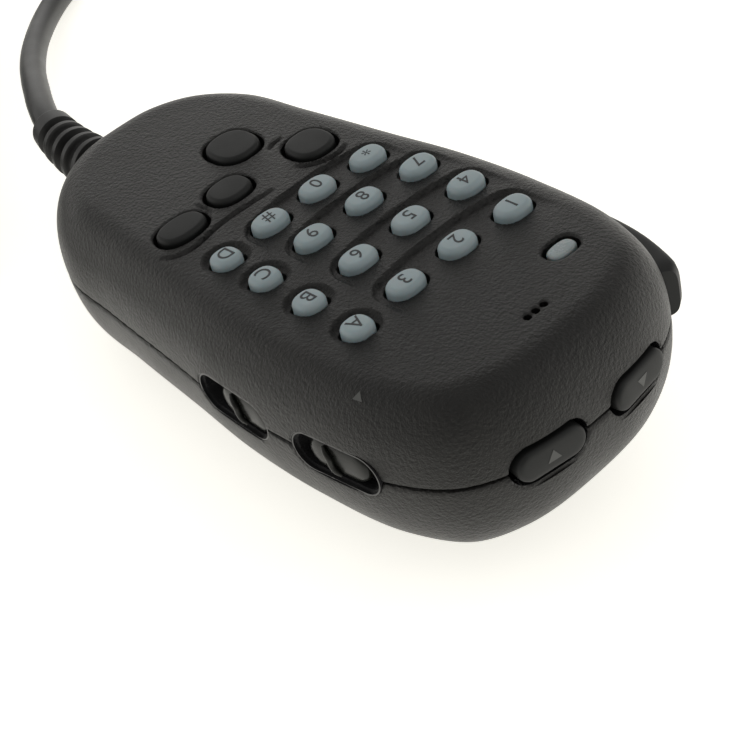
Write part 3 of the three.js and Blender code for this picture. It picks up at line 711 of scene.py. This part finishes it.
def racetrack_distance(u, v, length, height):
    straight = (length - height) / 2
    return np.hypot(np.maximum(np.abs(u) - straight, 0), v) - height / 2


def soften_recess(points, recess):
    """Rounds the wall's edge round a recess by pushing it inwards."""
    frame_ = np.array(recess["frame"].inverted())
    own = points @ frame_[:3, :3].T + frame_[:3, 3]
    distance = racetrack_distance(own[:, 0], own[:, 1], recess["length"], recess["height"])
    near = (np.abs(own[:, 2]) < 4) & (distance < recess["edge"])
    out = np.array(recess["frame"])[:3, 2]
    points[near] -= np.outer(rounding(np.maximum(distance[near], 0), recess["edge"]), out)


def recess_tools():
    tools = []
    for recess in RECESSES:
        tool = loft("tool", [racetrack(recess["length"], recess["height"], z) for z in (-6, 5)])
        tools.append(moved(tool, recess["frame"]))
    for recess in SCAN_RECESSES:
        length, height = recess["length"] + RECESS_STEP["wider"], recess["height"] + RECESS_STEP["wider"]
        step = loft("tool", [racetrack(length, height, z) for z in (-RECESS_STEP["depth"], 5)])
        lower = Matrix.Translation((0, -RECESS_STEP["lower"], 0))
        tools.append(moved(step, recess["frame"] @ lower))
    return tools


PTT_BAR = case_points("ptt_bar")


def ptt_slot_tool():
    """The slot that the push-to-talk bar sits in, a little larger than the bar."""
    low, high = PTT_BAR.min(0), PTT_BAR.max(0)
    grow = 0.8
    left = OUTLINE[:, 0] < 0
    inside = left & (OUTLINE[:, 1] > low[1] - grow) & (OUTLINE[:, 1] < high[1] + grow)
    line, out = OUTLINE[inside], OUTWARD[inside]
    outer, inner = line + 6 * out, line - 7 * out
    floor = np.vstack([outer, inner[::-1]])
    rings = [np.column_stack([floor, np.full(len(floor), z)]) for z in (low[2] - 0.5, high[2] + 0.5)]
    return loft("tool", rings)


def recess_faces(obj, material_index):
    """Gives the walls of the side recesses the smooth finish."""
    mesh = obj.data
    centres = np.zeros(len(mesh.polygons) * 3)
    mesh.polygons.foreach_get("center", centres)
    centres = centres.reshape(-1, 3)
    chosen = np.zeros(len(centres), bool)
    for recess in RECESSES:
        frame_ = np.array(recess["frame"].inverted())
        own = centres @ frame_[:3, :3].T + frame_[:3, 3]
        distance = racetrack_distance(own[:, 0], own[:, 1], recess["length"], recess["height"])
        chosen |= (np.abs(distance) < 0.06) & (own[:, 2] > -8) & (own[:, 2] < 1.5)
    index = np.where(chosen, material_index, 0)
    mesh.polygons.foreach_set("material_index", index.astype(np.int32))


def front_cover():
    skin = loft("front_cover", shoulder(GAP / 2, FRONT_HEIGHT, *FRONT_SHOULDER))
    modified(skin, "REMESH", mode="VOXEL", voxel_size=SKIN_DETAIL)
    modified(skin, "SMOOTH", factor=0.5, iterations=3)
    points = points_of(skin)
    upper = points[:, 2] > 6
    share = smoothstep(6, 11, points[upper, 2])
    points[upper, 2] -= face_relief(points[upper, 0], points[upper, 1]) * share
    for recess in RECESSES:
        soften_recess(points, recess)
    set_points(skin, points)
    cavity = loft("tool", [ring(WALL, -1), ring(WALL, 4), ring(WALL + 2.2, 8),
                           ring(WALL + 4.8, FACE_UNDERSIDE)])
    cut(cavity, joined("tool", [peg(3, GAP, FACE_UNDERSIDE + 1, x, y) for x, y in SCREWS]))
    cut(skin, cavity)
    cut(skin, joined("tool", [peg(1.4, -2, 8, x, y) for x, y in SCREWS]))
    cut(skin, peg(MIC["width"] / 2 + 1.4, 4, FACE_UNDERSIDE, MIC["x"], MIC["y"]))
    holes = [oval_tool(hole_of(key), KEY_HOLE["grow"]) for key in (*DIGITS.values(), *LETTERS.values())]
    holes += [oval_tool(key, MEMORY_HOLE, power=2.4) for key in MEMORIES.values()]
    holes += [oval_tool(LENS, 0.6)]
    holes += [peg(SOUND_HOLES["radius"], 8, 17, x, y, 20) for x, y in sound_hole_places()]
    cut(skin, joined("tool", holes))
    cut(skin, parting_lip(), how="UNION")
    cut(skin, *recess_tools(), ptt_slot_tool(), boot_bore())
    lock_mark(skin)
    finished_in(skin, LEATHER, SMOOTH_BLACK)
    recess_faces(skin, 1)
    settle(skin, "case", LEATHER, stands_for=["front_shell"])


def parting_lip():
    """A lip inside the front shell that closes the view through the parting gap."""
    lip = loft("tool", [ring(WALL + 0.15, -1.4), ring(WALL + 0.15, 0.2), ring(WALL - 0.3, 0.4),
                        ring(WALL - 0.3, 1.5)])
    return cut(lip, loft("tool", [ring(WALL + 0.95, -2), ring(WALL + 0.95, 2)]))


def lock_mark(skin):
    """A small triangle on the shoulder beside the lock slider."""
    x, y = LOCK_MARK["at"]
    bpy.context.view_layer.update()
    _, at, normal, _ = skin.ray_cast(Vector((x, y, 30)), Vector((0, 0, -1)))
    corners = [(-1, -0.6), (1, -0.6), (0, 1)]
    size = LOCK_MARK["size"]
    rings = [np.array([(u * size, v * size, z) for u, v in corners]) for z in (-0.05, 0.05)]
    turn = normal.to_track_quat("Z", "Y").to_matrix().to_4x4()
    mark = moved(loft("lock_mark", rings), Matrix.Translation(at) @ turn)
    settle(mark, "case", MARK_GREY, 30)


def boot_bore():
    bore = turned("tool", [(4.2, -60), (4.2, 0)], 40)
    return moved(bore, Matrix.Translation((0, -64, 1)) @ Matrix.Rotation(math.pi / 2, 4, "X")
                 @ Matrix.Translation((0, 0, 12)))


def rear_cover():
    skin = loft("rear_cover", shoulder(-GAP / 2, -REAR_DEPTH, *REAR_SHOULDER)[::-1])
    modified(skin, "REMESH", mode="VOXEL", voxel_size=BACK_DETAIL)
    modified(skin, "SMOOTH", factor=0.5, iterations=3)
    points = points_of(skin)
    for recess in RECESSES:
        soften_recess(points, recess)
    set_points(skin, points)
    cavity = loft("tool", [ring(WALL + 7.6, -REAR_DEPTH + WALL), ring(WALL + 3.4, -12.4),
                           ring(WALL + 1, -7.5), ring(WALL, -3), ring(WALL, 1)])
    towers = [peg(3.4, -REAR_DEPTH - 1, -GAP, x, y) for x, y in SCREWS]
    towers.append(peg(4, -REAR_DEPTH - 1, -11.5, 0, HANGER_Y))
    cut(cavity, joined("tool", towers))
    cut(skin, cavity)
    seats = [peg(2.7, -REAR_DEPTH - 2, -9, x, y, 48) for x, y in SCREWS]
    cut(skin, joined("tool", seats))
    shanks = [peg(1.4, -10, 2, x, y) for x, y in SCREWS]
    shanks.append(peg(1.6, -REAR_DEPTH - 2, -11, 0, HANGER_Y))
    cut(skin, joined("tool", shanks))
    cut(skin, *recess_tools(), ptt_slot_tool(), boot_bore())
    finished_in(skin, LEATHER, SMOOTH_BLACK)
    recess_faces(skin, 1)
    settle(skin, "case", LEATHER, stands_for=["rear_shell"])


# ---------------------------------------------------------------- keys


def cap_rings(place_, power, rounding_, flat_top):
    """A key cap: flange, straight side and a rounded top."""
    width, height, top = place_["width"], place_["height"], place_["top"]
    lip = 0.7
    levels = [(-lip, 9.1), (-lip, 9.7), (0, 9.7), (0, 10.4)]
    steps = 12
    for k in range(steps + 1):
        angle = k / steps * math.pi / 2
        levels.append(((1 - math.cos(angle)) * flat_top, top - rounding_ * (1 - math.sin(angle))))
    rest = min(width, height) / 2 - flat_top
    levels += [(flat_top + 0.35 * rest, top + 0.03), (flat_top + 0.8 * rest, top + 0.05)]
    return [oval(width - 2 * inset, height - 2 * inset, z, power, 72) for inset, z in levels]


def key_caps():
    for name, place_ in (*DIGITS.items(), *LETTERS.items()):
        cap = loft(f"cap_{name}", cap_rings(place_, 2.5, 1.1, 0.95))
        moved(cap, Matrix.Translation((place_["x"], place_["y"], 0)))
        settle(cap, f"key_{name}", KEY_GREY, 40, stands_for=[f"key_{name}"])
        legend(name, place_)


def legend(name, place_):
    """The key's sign, a thin printed layer standing just proud of the cap."""
    curve = bpy.data.curves.new("sign", "FONT")
    curve.body = SIGNS.get(name, name.upper())
    curve.size = LEGEND_SIZE
    curve.align_x = "CENTER"
    curve.align_y = "CENTER"
    curve.extrude = 0.06
    curve.resolution_u = 6
    text = bpy.data.objects.new("sign", curve)
    scene.collection.objects.link(text)
    bpy.context.view_layer.update()
    mesh = bpy.data.meshes.new_from_object(text)
    bpy.data.objects.remove(text)
    sign = bpy.data.objects.new(f"legend_{name}", mesh)
    scene.collection.objects.link(sign)
    points = points_of(sign)
    middle = (points.max(0) + points.min(0)) / 2
    points -= middle
    points += (place_["x"], place_["y"], place_["top"] + 0.02)
    set_points(sign, points)
    settle(sign, f"key_{name}", INK, 30)


def memory_keys():
    for name, place_ in MEMORIES.items():
        cap = loft(f"{name}_cap", cap_rings(place_, 2.4, 0.9, 0.8))
        moved(cap, Matrix.Translation((place_["x"], place_["y"], 0)))
        settle(cap, name, KEY_DARK, 40, stands_for=[name])


def indicator():
    window = loft("indicator_window", cap_rings(LENS, 2.6, 0.5, 0.5))
    moved(window, Matrix.Translation((LENS["x"], LENS["y"], 0)))
    settle(window, "case", MILKY, 40, stands_for=["indicator_lens"])


# ---------------------------------------------------------------- side controls


def scan_buttons():
    for name, (own, size) in SCANS.items():
        length, height, depth = size
        levels = [(0, -depth), (0, -0.9), (0.05, -0.55), (0.22, -0.25), (0.5, -0.1), (1.0, -0.03),
                  (2.2, 0)]
        rings = [racetrack(length - 2 * inset, height - 2 * inset, z) for inset, z in levels]
        button = moved(loft(f"{name}_cap", rings), own)
        settle(button, name, KEY_DARK, 35, stands_for=[name])
        mark = moved(arrow(f"{name}_arrow", 1 if name == "up_button" else -1), own)
        settle(mark, name, MARK_GREY, 30)


def arrow(name, way):
    """A small printed triangle that points up or down."""
    corners = [(-1.2, -0.8), (1.2, -0.8), (0, 1.1)][::way]
    return loft(name, [np.array([(u, way * v, z) for u, v in corners]) for z in (-0.1, 0.04)])


def thumb_sliders():
    for name, (own, size) in SLIDERS.items():
        length, height, depth = size
        levels = [(0, -depth), (0, -1.75), (0.2, -1.35), (0.7, -1.1), (1.4, -0.98), (2.2, -0.93)]
        rings = [racetrack(length - 2 * inset, height - 2 * inset, z, 40) for inset, z in levels]
        plate = loft(f"{name}_thumb", rings)
        cut(plate, swept("tool", RIB["path"], rib_radius, 32, 60), how="UNION")
        moved(plate, own)
        settle(plate, f"{name}_slider", SLIDER_GLOSS, 50, stands_for=[f"{name}_slider"])


def rib_radius(share):
    return RIB["radius"] * math.sin(math.pi * (0.12 + 0.76 * share)) ** 0.5


def slide_bezels():
    """A glossy stepped frame in each slide recess, open for the slider's travel."""
    for recess in SLIDE_RECESSES:
        length, height = recess["length"], recess["height"]
        outer = [racetrack(length - 0.1, height - 0.1, z) for z in (-2.95, -0.45)]
        step = [racetrack(length - 0.6, height - 0.6, z) for z in (-1.2, 1)]
        inner = [racetrack(length - 1.2, height - 1.2, z) for z in (-4, 1)]
        bezel = cut(loft(f"{recess['switch']}_bezel", outer), loft("tool", step), loft("tool", inner))
        moved(bezel, recess["frame"])
        settle(bezel, "case", SMOOTH_BLACK, 35)


def push_to_talk_bar():
    """The bar follows the case's edge; its corners and ends are rounded."""
    low, high = PTT_BAR.min(0), PTT_BAR.max(0)
    along = (OUTLINE[:, 0] < 0) & (OUTLINE[:, 1] >= low[1]) & (OUTLINE[:, 1] <= high[1])
    line, out = OUTLINE[along], OUTWARD[along]
    from_end = np.minimum(line[:, 1] - low[1], high[1] - line[:, 1])
    angle = (np.arange(48) + 0.5) / 48 * 2 * math.pi
    across = np.sign(np.cos(angle)) * np.abs(np.cos(angle)) ** (2 / BAR["power"])
    upwards = np.sign(np.sin(angle)) * np.abs(np.sin(angle)) ** (2 / BAR["power"])
    rings = []
    for at, way, near in zip(line, out, from_end):
        short = BAR["rounding"] * (1 - math.sqrt(1 - max(0, 1 - near / BAR["rounding"]) ** 2))
        half = (BAR["stands"] + BAR["inside"] - short) / 2
        flat = at + np.outer(across * half + half - BAR["inside"], way)
        height = upwards * (high[2] - low[2] - 0.6 * short) / 2 + (high[2] + low[2]) / 2
        rings.append(np.column_stack([flat, height]))
    settle(loft("talk_bar", rings[::-1]), "ptt_bar", KEY_DARK, 45,
           stands_for=["ptt_bar"])


# ---------------------------------------------------------------- strain relief


def swept(name, path, radius_at, sides=64, steps=220):
    """A round body along a path; radius_at gives its radius at a share of the way along."""
    line = spaced(spline(path), steps)
    ahead = np.gradient(line, axis=0)
    ahead /= np.linalg.norm(ahead, axis=1)[:, None]
    up = np.array((0, 0, 1.0))
    rings = []
    angle = np.arange(sides) / sides * 2 * math.pi
    for k, (at, way) in enumerate(zip(line, ahead)):
        side = np.cross(way, up)
        side /= np.linalg.norm(side)
        over = np.cross(side, way)
        round_ = np.outer(np.cos(angle), over) + np.outer(np.sin(angle), side)
        rings.append(at + radius_at(k / (steps - 1)) * round_)
    return loft(name, rings)


def boot():
    """Ribbed sleeve that tapers to the cord, with a plain band at its tip."""
    line = spline(BOOT_PATH)
    length = np.linalg.norm(np.diff(line, axis=0), axis=1).sum()
    neck, band = BOOT["neck"], BOOT["band"]

    def radius_at(share):
        along = share * length
        if along < neck:
            return BOOT["neck_radius"]
        body = BOOT["radius"] + (BOOT["tip"] - BOOT["radius"]) * (along - neck) / (length - neck)
        end = smoothstep(length, length - 0.8, along)
        phase = max(length - band - along, 0) / BOOT["pitch"] % 1
        slot = smoothstep(0.0, 0.13, phase) * smoothstep(0.7, 0.52, phase)
        return body - BOOT["groove"] * slot - 0.6 * (1 - end)

    sleeve = swept("ribbed_boot", BOOT_PATH, radius_at)
    settle(sleeve, "case", RUBBER, 40, stands_for=["strain_relief"])


# ---------------------------------------------------------------- fixed CAD pieces


CAD_FINISHES = {
    "hanger_button": SWITCH_BLACK, "keypad_mat": MAT_RUBBER, "mic_seal": RUBBER,
    "circuit_board": BOARD, "indicator_led": MILKY, "wire_connector": NYLON, "key_lamp_left": NYLON,
    "key_lamp_right": NYLON, "mic_capsule": STEEL, "tone_crystal": STEEL, "ptt_pin": STEEL,
    "ptt_spring": STEEL, "hanger_screw": STEEL, "modular_plug": CLEAR, "lock_switch": SMOOTH_BLACK,
    "lamp_switch": SMOOTH_BLACK,
}


def finish_cad_nodes():
    for name, node in frame["nodes"].items():
        material = STEEL if "screw" in name else CAD_FINISHES.get(name, SWITCH_BLACK)
        node.data.materials.clear()
        node.data.materials.append(material)


finish_cad_nodes()
front_cover()
rear_cover()
key_caps()
memory_keys()
indicator()
scan_buttons()
thumb_sliders()
slide_bezels()
push_to_talk_bar()
boot()
